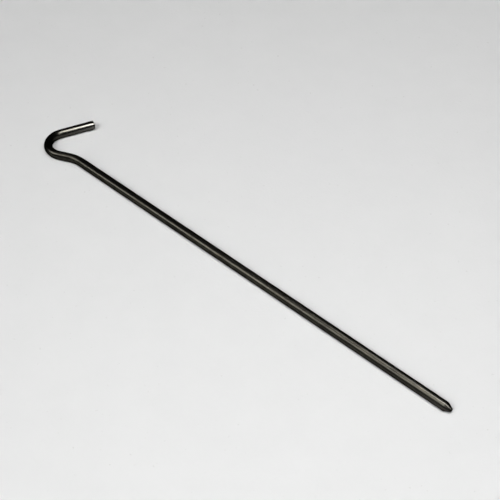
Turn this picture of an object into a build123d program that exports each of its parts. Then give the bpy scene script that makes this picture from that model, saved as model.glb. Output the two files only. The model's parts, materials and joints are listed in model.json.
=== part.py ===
"""Hooked wire tent stake: one length of round steel wire, bent cold and pointed.

The stake lies on its side on the plane Z = 0. Its straight shank runs along X with the
point towards +X, and the hook curls over at the other end, with its tail on the +Y side.
The origin is the centre of the bounding box's bottom face. All lengths are in
millimetres and all angles in degrees.
"""

import os
from math import cos, radians, sin

from build123d import *

# Driving dimensions
WIRE_DIAMETER = 4.0
OVERALL_LENGTH = 230.0  # from the back of the hook to the blunt point
HOOK_MANDREL_DIAMETER = 12.7  # the half-inch pin that the hook is wound round
HOOK_BEND_ANGLE = 137.6
TAIL_LENGTH = 15.6  # straight end of the hook, from the bend to the cut face
TAIL_EDGE_BREAK = 0.25  # rounding of the cut face's rim
NECK_RADIUS = 15.4  # centreline radius of the shallow set-back bend under the hook
NECK_BEND_ANGLE = 26.2
NECK_STRAIGHT = 4.3  # straight between the set-back bend and the hook
POINT_LENGTH = 2.6
POINT_FLAT_DIAMETER = 1.5

# The wire and its hook
WIRE_RADIUS = WIRE_DIAMETER / 2
HOOK_RADIUS = HOOK_MANDREL_DIAMETER / 2 + WIRE_RADIUS
NECK_SINE = sin(radians(NECK_BEND_ANGLE))
NECK_COSINE = cos(radians(NECK_BEND_ANGLE))
TAIL_ANGLE = 180 + NECK_BEND_ANGLE - HOOK_BEND_ANGLE  # between the tail and the shank
TAIL_SINE = sin(radians(TAIL_ANGLE))
TAIL_COSINE = cos(radians(TAIL_ANGLE))

# Places measured from the end of the straight shank, where the neck begins
HOOK_CENTRE_X = -(NECK_RADIUS + HOOK_RADIUS) * NECK_SINE - NECK_STRAIGHT * NECK_COSINE
HOOK_CENTRE_Y = (
    HOOK_RADIUS * NECK_COSINE - NECK_RADIUS * (1 - NECK_COSINE) - NECK_STRAIGHT * NECK_SINE
)
TAIL_END_Y = HOOK_CENTRE_Y + HOOK_RADIUS * TAIL_COSINE + TAIL_LENGTH * TAIL_SINE
LOWEST_Y = HOOK_CENTRE_Y - HOOK_RADIUS - WIRE_RADIUS
HIGHEST_Y = (
    TAIL_END_Y
    + (WIRE_RADIUS - TAIL_EDGE_BREAK) * TAIL_COSINE
    + TAIL_EDGE_BREAK * (1 - TAIL_SINE)
)
HOOK_REACH = HOOK_RADIUS + WIRE_RADIUS - HOOK_CENTRE_X  # back of the hook to the neck
SHANK_LENGTH = OVERALL_LENGTH - HOOK_REACH

# Places in the stake's own frame
NECK_X = HOOK_REACH - OVERALL_LENGTH / 2
SHANK_Y = -(LOWEST_Y + HIGHEST_Y) / 2
BEND_PLANE = Plane(origin=(NECK_X, SHANK_Y, WIRE_RADIUS))


def wire_path():
    """Centreline from the blunt point, along the shank and round the hook to the tail.

    The neck turns away from the tail's side first, so that the hook's opening sits over
    the shank's line, and the hook then turns back across it.
    """
    with BuildLine(BEND_PLANE) as path:
        shank = Line((SHANK_LENGTH, 0), (0, 0))
        neck = JernArc(shank @ 1, shank % 1, NECK_RADIUS, NECK_BEND_ANGLE)
        riser = Line(neck @ 1, neck @ 1 + (neck % 1) * NECK_STRAIGHT)
        hook = JernArc(riser @ 1, riser % 1, HOOK_RADIUS, -HOOK_BEND_ANGLE)
        Line(hook @ 1, hook @ 1 + (hook % 1) * TAIL_LENGTH)
    return path.line


def bent_wire(path):
    """The wire swept along its centreline, its tail deburred and its shank pointed."""
    with BuildPart() as wire:
        with BuildSketch(Plane(origin=path @ 0, z_dir=path % 0)):
            Circle(WIRE_RADIUS)
        sweep(path=path)

        tail_face = wire.faces().filter_by(GeomType.PLANE).sort_by(Axis.Y)[-1]
        fillet(tail_face.edges(), TAIL_EDGE_BREAK)

        point_face = wire.faces().filter_by(GeomType.PLANE).sort_by(Axis.X)[-1]
        point_setback = (WIRE_DIAMETER - POINT_FLAT_DIAMETER) / 2
        chamfer(point_face.edges(), point_setback, POINT_LENGTH, reference=point_face)
    return wire


os.makedirs("parts", exist_ok=True)
stake_wire = bent_wire(wire_path())
stake_wire.part.label = "stake_wire"
export_step(stake_wire.part, "parts/stake_wire.step")
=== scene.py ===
"""Looks of the hooked wire tent stake: a dark drawn steel wire lying on a pale table.

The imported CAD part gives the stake's place and size. Its one node is replaced by a finer
mesh, swept along the same centreline, with the marks that drawing, bending, cropping and
grinding leave. Everything is in the row's frame, in metres.
"""

import json
from math import atan2, cos, hypot, pi, radians, sin, sqrt

import bpy
from mathutils import Matrix, Vector


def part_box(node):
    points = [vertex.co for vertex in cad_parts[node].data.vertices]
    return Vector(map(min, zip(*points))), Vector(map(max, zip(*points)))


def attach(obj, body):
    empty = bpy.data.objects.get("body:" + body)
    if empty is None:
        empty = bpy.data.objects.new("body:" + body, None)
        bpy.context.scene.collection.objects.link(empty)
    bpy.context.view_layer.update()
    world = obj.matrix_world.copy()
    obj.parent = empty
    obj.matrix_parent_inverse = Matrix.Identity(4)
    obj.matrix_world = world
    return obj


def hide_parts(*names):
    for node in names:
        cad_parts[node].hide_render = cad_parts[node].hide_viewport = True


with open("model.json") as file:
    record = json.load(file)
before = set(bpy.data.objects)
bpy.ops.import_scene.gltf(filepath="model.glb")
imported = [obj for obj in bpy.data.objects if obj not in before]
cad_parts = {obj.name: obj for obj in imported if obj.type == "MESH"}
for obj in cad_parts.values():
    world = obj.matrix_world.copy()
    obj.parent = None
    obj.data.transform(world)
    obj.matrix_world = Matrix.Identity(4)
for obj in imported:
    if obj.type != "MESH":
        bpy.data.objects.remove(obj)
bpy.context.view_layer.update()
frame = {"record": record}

MM = 0.001
UP = Vector((0, 0, 1))

# The wire's stretches. The shank and the tail come from the record's mounts, and the rest
# is the same as the part's.
MOUNTS = {mount["name"]: mount for mount in frame["record"]["mounts"]}
WIRE_RADIUS = MOUNTS["shank"]["dims"]["r_mm"] * MM
SHANK_CENTRE = Vector(MOUNTS["shank"]["pos_m"])
SHANK_HALF = MOUNTS["shank"]["dims"]["length_mm"] * MM / 2
TAIL_AXIS = MOUNTS["hook_tail"]["axis"]
POINT_END = Vector((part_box("stake_wire")[1].x, SHANK_CENTRE.y, WIRE_RADIUS))
POINT_LENGTH = POINT_END.x - SHANK_CENTRE.x - SHANK_HALF
POINT_FLAT_RADIUS = 0.75 * MM
SHANK_LENGTH = 2 * SHANK_HALF + POINT_LENGTH
NECK_RADIUS = 15.4 * MM
NECK_BEND = radians(26.2)
NECK_STRAIGHT = 4.3 * MM
HOOK_RADIUS = 8.35 * MM
HOOK_BEND = pi + NECK_BEND - atan2(TAIL_AXIS[1], TAIL_AXIS[0])
TAIL_EDGE_BREAK = 0.25 * MM
TAIL_LENGTH = MOUNTS["hook_tail"]["dims"]["length_mm"] * MM + TAIL_EDGE_BREAK

# Each stretch's length and how sharply it turns, from the point to the tail. A left turn
# is positive.
ROUTE = (
    (SHANK_LENGTH, 0.0),
    (NECK_RADIUS * NECK_BEND, 1 / NECK_RADIUS),
    (NECK_STRAIGHT, 0.0),
    (HOOK_RADIUS * HOOK_BEND, -1 / HOOK_RADIUS),
    (TAIL_LENGTH, 0.0),
)
WIRE_LENGTH = sum(length for length, _ in ROUTE)
HOOK_START = sum(length for length, _ in ROUTE[:3])
HOOK_END = WIRE_LENGTH - TAIL_LENGTH
NECK_END = SHANK_LENGTH + NECK_RADIUS * NECK_BEND

# Each bend's start and end, and how much thinner bending has made the wire across its middle
BENDS = ((HOOK_START, HOOK_END, 0.05), (SHANK_LENGTH, NECK_END, 0.025))
THINNING_POWER = 4

# The sheared tail end: the torn part sits back from the cut part, in uneven ripples
TEAR_DEPTH = 0.14 * MM
TEAR_EDGE = -0.3 * MM
TEAR_TILT = 0.2
TEAR_SLOPE = 0.5 * MM
TEAR_RIM = 0.2 * MM
TEAR_RIM_POWER = 6
RIPPLE_DEPTH = 0.035 * MM
RIPPLES_ACROSS = 5.1 / MM
RIPPLES_UP = 3.7 / MM
RIPPLE_SHIFT = 0.6
RIPPLE_WANDER = 1.7
RIPPLE_WANDERS_UP = 2.3 / MM

# The mesh's fineness, and how sharp a corner has to be to stay unsmoothed
SIDES = 96
RING_GAP = 1.0 * MM
BEND_RING_GAP = 0.3 * MM
POINT_RINGS = 12
EDGE_RINGS = 6
FACE_RINGS = 14
SHARP_CORNER = radians(20)

# Which material a face has
DRAWN, GROUND, CROPPED = range(3)


# ---------------------------------------------------------------- camera, floor and light

VIEW_AZIMUTH = radians(44.18)
VIEW_ELEVATION = radians(42.58)
VIEW_DISTANCE = 0.6054
VIEW_TARGET = Vector((0.0003, 0.00444, 0.0))
LENS = 106.06
NEAREST_SEEN = 0.01
FURTHEST_SEEN = 50.0

FLOOR_SIZE = 8.0
ROOM_GREY = 0.02

LEFT_AZIMUTH = radians(-35.1)
LEFT_ELEVATION = radians(45.2)
LEFT_DISTANCE = 1.05
LEFT_ROLL = 0.409
SUN_SIDE = Vector((0.08, -0.85, 0.80))
SUN_STRENGTH = 1.85
SUN_ANGLE = radians(26)

WHITE = (1.0, 1.0, 1.0)
WARM_WHITE = (1.0, 0.99, 0.97)
WARMER_WHITE = (1.0, 0.98, 0.95)


def direction(azimuth, elevation):
    """Unit vector from the stake towards a place in the room; azimuth 0 is towards -Y."""
    return Vector((
        sin(azimuth) * cos(elevation),
        -cos(azimuth) * cos(elevation),
        sin(elevation),
    ))


def turned_from(side):
    """The rotation of a camera or a sun that looks towards the stake from that side."""
    return side.to_track_quat("Z", "Y").to_euler()


def add_camera():
    """The main camera, at the photograph's viewing angle."""
    camera = bpy.data.objects.new("camera", bpy.data.cameras.new("camera"))
    bpy.context.scene.collection.objects.link(camera)
    side = direction(VIEW_AZIMUTH, VIEW_ELEVATION)
    camera.location = VIEW_TARGET + VIEW_DISTANCE * side
    camera.rotation_euler = turned_from(side)
    camera.data.lens = LENS
    camera.data.clip_start = NEAREST_SEEN
    camera.data.clip_end = FURTHEST_SEEN
    bpy.context.scene.camera = camera


def add_softbox(name, place, edge, size, radiance, colour, shows_in, back=None):
    """A rectangular lamp that looks equally bright from everywhere in front of it.

    It shines at the frame's origin, or straight away from back where that is given. Its
    size is its length along edge, then across it. Where shows_in is "gloss" it only shows
    in reflections, and where it is "matt" it never does.
    """
    if back is None:
        back = place
    lamp = bpy.data.lights.new(name, "AREA")
    lamp.shape = "RECTANGLE"
    lamp.size, lamp.size_y = size
    lamp.energy = radiance * pi * lamp.size * lamp.size_y
    lamp.color = colour
    softbox = bpy.data.objects.new(name, lamp)
    bpy.context.scene.collection.objects.link(softbox)
    across = back.cross(edge).normalized()
    turn = Matrix((across.cross(back).normalized(), across, back.normalized()))
    softbox.matrix_world = Matrix.Translation(place) @ turn.transposed().to_4x4()
    softbox.visible_camera = False
    softbox.visible_diffuse = shows_in == "matt"
    softbox.visible_glossy = shows_in == "gloss"


def add_highlight_lamps():
    """Four lamps that only show as the wire's highlights."""
    left = direction(LEFT_AZIMUTH, LEFT_ELEVATION)
    level = UP.cross(left).normalized()
    upward = left.cross(level)
    add_softbox(
        "overhead", place=Vector((0.16, 0.07, 0.70)), edge=Vector((0.99, 0.13, 0)),
        size=(0.85, 0.18), radiance=14.7, colour=WARM_WHITE, shows_in="gloss", back=UP,
    )
    add_softbox(
        "left", place=LEFT_DISTANCE * left,
        edge=cos(LEFT_ROLL) * level - sin(LEFT_ROLL) * upward,
        size=(0.50, 0.98), radiance=4.1, colour=WARMER_WHITE, shows_in="gloss",
    )
    add_softbox(
        "right", place=Vector((0.77, -0.55, 0.56)), edge=UP,
        size=(0.45, 0.25), radiance=3.5, colour=WARM_WHITE, shows_in="gloss",
    )
    add_softbox(
        "behind", place=Vector((-0.76, 0.77, 0.19)), edge=Vector((1, 1, 0)),
        size=(0.60, 0.34), radiance=0.8, colour=WARM_WHITE, shows_in="gloss",
    )


def add_table_lights():
    """A lamp and a soft sun that light the table and never show in the wire."""
    add_softbox(
        "above", place=Vector((0.18, -0.14, 0.56)), edge=Vector((1, 0, 0)),
        size=(0.28, 0.28), radiance=11.4, colour=WHITE, shows_in="matt",
    )
    sun = bpy.data.lights.new("front", "SUN")
    sun.energy = SUN_STRENGTH
    sun.angle = SUN_ANGLE
    front = bpy.data.objects.new("front", sun)
    front.rotation_euler = turned_from(SUN_SIDE)
    front.visible_glossy = False
    bpy.context.scene.collection.objects.link(front)


def set_room():
    """A dim grey room, with its colours shown as they are."""
    world = bpy.data.worlds.new("room")
    world.use_nodes = True
    room = world.node_tree.nodes["Background"]
    room.inputs["Color"].default_value = (ROOM_GREY, ROOM_GREY, ROOM_GREY, 1)
    room.inputs["Strength"].default_value = 1.0
    bpy.context.scene.world = world
    bpy.context.scene.view_settings.view_transform = "Standard"


class Nodes:
    """Short calls for building one material's node tree."""

    # Where a colour Mix node's factor and two colours go in, and its colour comes out
    MIX_INPUTS = (0, 6, 7)
    MIX_OUTPUT = 2

    def __init__(self, name):
        self.material = bpy.data.materials.new(name)
        self.material.use_nodes = True
        self.tree = self.material.node_tree
        self.shader = self.tree.nodes["Principled BSDF"]

    def plug(self, socket, value):
        """Give a socket another node's output, or a value of its own."""
        if isinstance(value, bpy.types.NodeSocket):
            self.tree.links.new(value, socket)
        else:
            socket.default_value = value

    def feed(self, node, inputs):
        """Plug a node's inputs by name; _ in a name stands for a space."""
        for name, value in inputs.items():
            self.plug(node.inputs[name.replace("_", " ")], value)

    def add(self, kind, **inputs):
        node = self.tree.nodes.new(kind)
        self.feed(node, inputs)
        return node

    def first(self, vector):
        """A vector's first number."""
        return self.add("ShaderNodeSeparateXYZ", Vector=vector).outputs["X"]

    def noise(self, vector, scale=1.0, detail=2.0, roughness=0.5, stretch=None):
        """Noise with about scale cells per unit, times stretch along each axis."""
        if stretch is not None:
            vector = self.add("ShaderNodeMapping", Vector=vector, Scale=stretch).outputs["Vector"]
        node = self.add("ShaderNodeTexNoise", Vector=vector, Scale=scale,
                        Detail=detail, Roughness=roughness)
        return node.outputs["Fac"]

    def ramp(self, value, low, high, to_low=0.0, to_high=1.0):
        node = self.add("ShaderNodeMapRange", Value=value, From_Min=low, From_Max=high,
                        To_Min=to_low, To_Max=to_high)
        return node.outputs["Result"]

    def mixed(self, factor, low, high):
        node = self.tree.nodes.new("ShaderNodeMix")
        node.data_type = "RGBA"
        for index, value in zip(self.MIX_INPUTS, (factor, low, high)):
            self.plug(node.inputs[index], value)
        return node.outputs[self.MIX_OUTPUT]

    def maths(self, operation, *values):
        node = self.tree.nodes.new("ShaderNodeMath")
        node.operation = operation
        for socket, value in zip(node.inputs, values):
            self.plug(socket, value)
        return node.outputs["Value"]

    def bump(self, height, distance):
        node = self.add("ShaderNodeBump", Height=height, Distance=distance, Strength=1.0)
        return node.outputs["Normal"]


def paper():
    """Pale matt card, slightly uneven in tone, with faint specks in it."""
    low_tone = (0.692, 0.695, 0.694, 1)
    high_tone = (0.708, 0.710, 0.709, 1)
    speck_tone = (0.60, 0.60, 0.59, 1)
    nodes = Nodes("pale_card")
    place = nodes.add("ShaderNodeTexCoord").outputs["Object"]
    cloud = nodes.ramp(nodes.noise(place, 60.0, detail=5.0, roughness=0.6), 0.3, 0.7)
    speck = nodes.ramp(nodes.noise(place, 520.0), 0.70, 0.80)
    fibres = nodes.noise(place, 900.0, detail=3.0)
    nodes.feed(nodes.shader, {
        "Base Color": nodes.mixed(speck, nodes.mixed(cloud, low_tone, high_tone), speck_tone),
        "Roughness": 0.9,
        "Specular IOR Level": 0.2,
        "Normal": nodes.bump(fibres, distance=0.04 * MM),
    })
    return nodes.material


def add_floor():
    """The table top, which is plain and pale."""
    half = FLOOR_SIZE / 2
    corners = [(-half, -half, 0), (half, -half, 0), (half, half, 0), (-half, half, 0)]
    mesh = bpy.data.meshes.new("table_top")
    mesh.from_pydata(corners, [], [(0, 1, 2, 3)])
    mesh.materials.append(paper())
    floor = bpy.data.objects.new("table_top", mesh)
    bpy.context.scene.collection.objects.link(floor)


# -------------------------------------------------------------------- the wire's shape

def route_at(distance):
    """Where the centreline is, that far from the point, and its heading in radians."""
    place = POINT_END.copy()
    heading = pi
    for length, curvature in ROUTE:
        step = min(distance, length)
        turn = step * curvature
        chord = 2 * sin(turn / 2) / curvature if turn else step
        place += chord * Vector((cos(heading + turn / 2), sin(heading + turn / 2), 0))
        heading += turn
        distance -= step
    return place, heading


def radius_at(distance):
    """The wire's radius: the ground point, the plain wire, then the tail's broken edge."""
    if distance < POINT_LENGTH:
        share = distance / POINT_LENGTH
        return POINT_FLAT_RADIUS + (WIRE_RADIUS - POINT_FLAT_RADIUS) * share
    into_edge = distance - (WIRE_LENGTH - TAIL_EDGE_BREAK)
    if into_edge > 0:
        rounded = sqrt(max(TAIL_EDGE_BREAK**2 - into_edge**2, 0))
        return WIRE_RADIUS - TAIL_EDGE_BREAK + rounded
    return WIRE_RADIUS


def flattening_at(distance):
    """How much the bends have thinned the wire there, easing out into the straights."""
    total = 0.0
    for start, end, most in BENDS:
        reach = (end - start) / 2 + WIRE_RADIUS
        share = min(abs(distance - (start + end) / 2) / reach, 1)
        total += most * (1 - share**THINNING_POWER)
    return total


def tear_at(across, up):
    """How far the sheared end is torn back, at a place on it."""
    torn = min(max((across - TEAR_EDGE + TEAR_TILT * up) / TEAR_SLOPE, 0), 1)
    inside = 1 - (hypot(across, up) / (WIRE_RADIUS - TEAR_RIM)) ** TEAR_RIM_POWER
    wander = RIPPLE_WANDER * sin(RIPPLE_WANDERS_UP * up)
    ripple = sin(RIPPLES_ACROSS * across + wander) * cos(RIPPLES_UP * up + RIPPLE_SHIFT)
    return max(inside, 0) * torn * (TEAR_DEPTH + RIPPLE_DEPTH * ripple)


def ring_distances():
    """How far along the wire each ring of vertices is, closer together where it changes."""
    edge = WIRE_LENGTH - TAIL_EDGE_BREAK
    spans = [
        (0, POINT_LENGTH, POINT_LENGTH / POINT_RINGS),
        (POINT_LENGTH, SHANK_LENGTH, RING_GAP),
        (SHANK_LENGTH, HOOK_END + WIRE_RADIUS, BEND_RING_GAP),
        (HOOK_END + WIRE_RADIUS, edge, RING_GAP),
    ]
    distances = []
    for start, end, gap in spans:
        count = max(round((end - start) / gap), 1)
        distances += [start + (end - start) * i / count for i in range(count)]
    distances += [
        edge + TAIL_EDGE_BREAK * sin(pi / 2 * i / EDGE_RINGS) for i in range(EDGE_RINGS + 1)
    ]
    return distances


def wire_point(distance, across, up, flattening=0.0, torn=False):
    """A place on the wire, and where it would be on the wire if that were straight."""
    place, heading = route_at(distance)
    sideways = Vector((-sin(heading), cos(heading), 0)) * (1 - flattening)
    forwards = Vector((cos(heading), sin(heading), 0))
    back = tear_at(across, up) if torn else 0
    return place + across * sideways + up * UP - back * forwards, (distance, across, up)


def ring_of_points(distance, radius, **shape):
    """One wire point for each side of the wire."""
    points = []
    for side in range(SIDES):
        around = 2 * pi * side / SIDES
        points.append(wire_point(distance, radius * cos(around), radius * sin(around), **shape))
    return points


def wire_points():
    """The rings from the point's flat to the sheared end, then the middles of those two."""
    points = []
    for i in range(1, FACE_RINGS):
        points += ring_of_points(0, radius_at(0) * i / FACE_RINGS)
    for distance in ring_distances():
        flattening = flattening_at(distance)
        points += ring_of_points(distance, radius_at(distance), flattening=flattening)
    for i in range(FACE_RINGS - 1, 0, -1):
        radius = radius_at(WIRE_LENGTH) * i / FACE_RINGS
        points += ring_of_points(WIRE_LENGTH, radius, torn=True)
    points.append(wire_point(0, 0, 0))
    points.append(wire_point(WIRE_LENGTH, 0, 0, torn=True))
    return points


def finish_of(ring, rings):
    """Which steel is between this ring and the next, of that many rings."""
    if ring < FACE_RINGS - 1 + POINT_RINGS:
        return GROUND
    if ring >= rings - FACE_RINGS - EDGE_RINGS // 2:
        return CROPPED
    return DRAWN


def wire_faces(rings):
    """Each face's vertices, how many sides round the wire each of them is, and its steel."""
    faces = []
    for ring in range(rings - 1):
        finish = finish_of(ring, rings)
        for side in range(SIDES):
            a = ring * SIDES + side
            b = ring * SIDES + (side + 1) % SIDES
            corners = (a, b, b + SIDES, a + SIDES)
            faces.append((corners, (side, side + 1, side + 1, side), finish))
    last_ring = (rings - 1) * SIDES
    point_middle = rings * SIDES
    tail_middle = point_middle + 1
    for side in range(SIDES):
        corners = (point_middle, (side + 1) % SIDES, side)
        faces.append((corners, (side, side + 1, side), GROUND))
    for side in range(SIDES):
        corners = (tail_middle, last_ring + side, last_ring + (side + 1) % SIDES)
        faces.append((corners, (side, side, side + 1), CROPPED))
    return faces


def add_wire():
    """The whole stake, in place of the CAD part's one node."""
    points = wire_points()
    faces = wire_faces(len(points) // SIDES)
    mesh = bpy.data.meshes.new("drawn_wire")
    mesh.from_pydata([place for place, _ in points], [], [corners for corners, _, _ in faces])
    mesh.shade_smooth()
    mesh.set_sharp_from_angle(angle=SHARP_CORNER)
    unrolled = mesh.attributes.new("unrolled", "FLOAT_VECTOR", "POINT")
    for entry, (_, straightened) in zip(unrolled.data, points):
        entry.vector = Vector(straightened) / MM
    around = mesh.uv_layers.new(name="around")
    for face, (corners, turns, finish) in zip(mesh.polygons, faces):
        face.material_index = finish
        for loop, corner, turn in zip(face.loop_indices, corners, turns):
            along = points[corner][1][0]
            around.data[loop].uv = (turn / SIDES, along / WIRE_LENGTH)
    for material in (drawn_steel(), ground_steel(), cropped_steel()):
        mesh.materials.append(material)
    wire = bpy.data.objects.new("drawn_wire", mesh)
    bpy.context.scene.collection.objects.link(wire)
    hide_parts("stake_wire")
    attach(wire, "root")


# ------------------------------------------------------------------- the wire's steels

# Scores left by the die: how far round the wire each is, from 0 to 1, its half width in
# the same measure, and its strength
DIE_SCORES = (
    (0.136, 0.010, 1.0), (0.232, 0.005, 0.6), (0.41, 0.007, 0.6), (0.57, 0.006, 0.6),
    (0.79, 0.008, 0.6),
)
# Where the finish starts to be worn and is most worn, in mm along the wire, and how
# suddenly
TAIL_WEAR = (WIRE_LENGTH / MM - 24, WIRE_LENGTH / MM)
TAIL_WEAR_POWER = 1.5
POINT_WEAR = (30.0, POINT_LENGTH / MM)
POINT_WEAR_POWER = 2.0
# How much of the nicks', scores' and worn point's own colour shows
NICKS_SHOW = 0.6
SCORES_SHOW = 0.7
POINT_WEAR_SHOWS = 0.6
# How much less rough the most worn steel is, and the worn point's share of that
WEAR_SMOOTHS = 0.13
POINT_WEAR_SMOOTHS = 0.4


def steel(name):
    """A metal whose gloss is drawn out along the wire, and the place a pattern can use.

    That is the distance along the wire and from its axis, in mm.
    """
    nodes = Nodes(name)
    unrolled = nodes.add("ShaderNodeAttribute")
    unrolled.attribute_name = "unrolled"
    grain = nodes.add("ShaderNodeTangent")
    grain.direction_type = "UV_MAP"
    grain.uv_map = "around"
    nodes.feed(nodes.shader, {
        "Metallic": 1.0,
        "Specular Tint": (0.02, 0.02, 0.02, 1),
        "Tangent": grain.outputs["Tangent"],
    })
    return nodes, unrolled.outputs["Vector"]


def die_scores(nodes, place):
    """Thin straight lines down the wire, broken here and there."""
    layout = nodes.add("ShaderNodeUVMap")
    layout.uv_map = "around"
    turn = nodes.first(layout.outputs["UV"])
    scores = 0.0
    for where, half_width, strength in DIE_SCORES:
        away = nodes.maths("ABSOLUTE", nodes.maths("SUBTRACT", turn, where))
        line = nodes.maths("MULTIPLY", nodes.ramp(away, half_width, 0.0), strength)
        scores = nodes.maths("MAXIMUM", scores, line)
    unbroken = nodes.ramp(nodes.noise(place, stretch=(0.12, 0.4, 0.4)), 0.3, 0.55)
    return nodes.maths("MULTIPLY", scores, unbroken)


def drawn_steel():
    """Dark mill-finished steel with the fine lengthwise lines that the die leaves."""
    dark = (0.021, 0.020, 0.0175, 1)
    brownish = (0.050, 0.0455, 0.037, 1)
    greenish = (0.046, 0.0465, 0.038, 1)
    nicked = (0.11, 0.104, 0.090, 1)
    scored = (0.17, 0.165, 0.150, 1)
    worn_tail = (0.105, 0.102, 0.094, 1)
    worn_point = (0.072, 0.070, 0.061, 1)

    nodes, place = steel("drawn_steel")
    lines = nodes.noise(place, detail=5.0, roughness=0.6, stretch=(0.03, 3.5, 3.5))
    mottle = nodes.noise(place, detail=4.0, stretch=(0.35, 1.0, 1.0))
    tone = nodes.maths("MULTIPLY_ADD", mottle, 0.5, nodes.maths("MULTIPLY", lines, 0.5))
    stain = nodes.ramp(nodes.noise(place, 1.3, stretch=(0.5, 0.8, 0.8)), 0.4, 0.6)
    # Short nicks from being pushed into stony ground
    nick = nodes.ramp(nodes.noise(place, stretch=(1.6, 4.5, 4.5)), 0.66, 0.74)
    score = die_scores(nodes, place)
    hair = nodes.noise(place, detail=3.0, stretch=(0.05, 9.0, 9.0))
    # The finish is thin towards the cut end, and behind the point
    along = nodes.first(place)
    tail_wear = nodes.maths("POWER", nodes.ramp(along, *TAIL_WEAR), TAIL_WEAR_POWER)
    point_wear = nodes.maths("POWER", nodes.ramp(along, *POINT_WEAR), POINT_WEAR_POWER)
    point_rubbed = nodes.maths("MULTIPLY", point_wear, POINT_WEAR_SMOOTHS)
    rubbed = nodes.maths("MAXIMUM", tail_wear, point_rubbed)

    colour = nodes.mixed(stain, brownish, greenish)
    colour = nodes.mixed(nodes.ramp(tone, 0.41, 0.59), dark, colour)
    colour = nodes.mixed(nodes.maths("MULTIPLY", nick, NICKS_SHOW), colour, nicked)
    colour = nodes.mixed(nodes.maths("MULTIPLY", score, SCORES_SHOW), colour, scored)
    colour = nodes.mixed(tail_wear, colour, worn_tail)
    point_share = nodes.maths("MULTIPLY", point_wear, POINT_WEAR_SHOWS)
    colour = nodes.mixed(point_share, colour, worn_point)
    satin = nodes.ramp(tone, 0.3, 0.7, to_low=0.29, to_high=0.23)
    nodes.feed(nodes.shader, {
        "Base Color": colour,
        "Roughness": nodes.maths("MULTIPLY_ADD", rubbed, -WEAR_SMOOTHS, satin),
        "Anisotropic": 0.55,
        "Normal": nodes.bump(nodes.maths("ADD", hair, score), distance=0.012 * MM),
    })
    return nodes.material


def ground_steel():
    """The point: rings of grinding marks, darkened by heat and oil."""
    dark = (0.024, 0.022, 0.020, 1)
    bright = (0.085, 0.081, 0.070, 1)
    burnt = (0.014, 0.013, 0.012, 1)
    nodes, place = steel("ground_steel")
    rings = nodes.noise(place, detail=4.0, stretch=(9.0, 0.5, 0.5))
    stain = nodes.ramp(nodes.noise(place, detail=3.0, stretch=(0.7, 0.9, 0.9)), 0.45, 0.7)
    nodes.feed(nodes.shader, {
        "Base Color": nodes.mixed(stain, nodes.mixed(rings, dark, bright), burnt),
        "Roughness": nodes.ramp(rings, 0.3, 0.7, to_low=0.28, to_high=0.20),
        "Normal": nodes.bump(rings, distance=0.02 * MM),
    })
    return nodes.material


def cropped_steel():
    """The tail's sheared end: rough grey steel, torn across in one direction."""
    dark = (0.08, 0.077, 0.07, 1)
    bright = (0.22, 0.212, 0.195, 1)
    nodes, place = steel("cropped_steel")
    tears = nodes.noise(place, detail=4.0, stretch=(1.0, 6.0, 1.2))
    grit = nodes.noise(place, 9.0, detail=3.0)
    nodes.feed(nodes.shader, {
        "Base Color": nodes.mixed(tears, dark, bright),
        "Roughness": nodes.ramp(grit, 0.3, 0.7, to_low=0.38, to_high=0.55),
        "Normal": nodes.bump(nodes.maths("ADD", tears, grit), distance=0.04 * MM),
    })
    return nodes.material


add_camera()
add_highlight_lamps()
add_table_lights()
set_room()
add_floor()
add_wire()
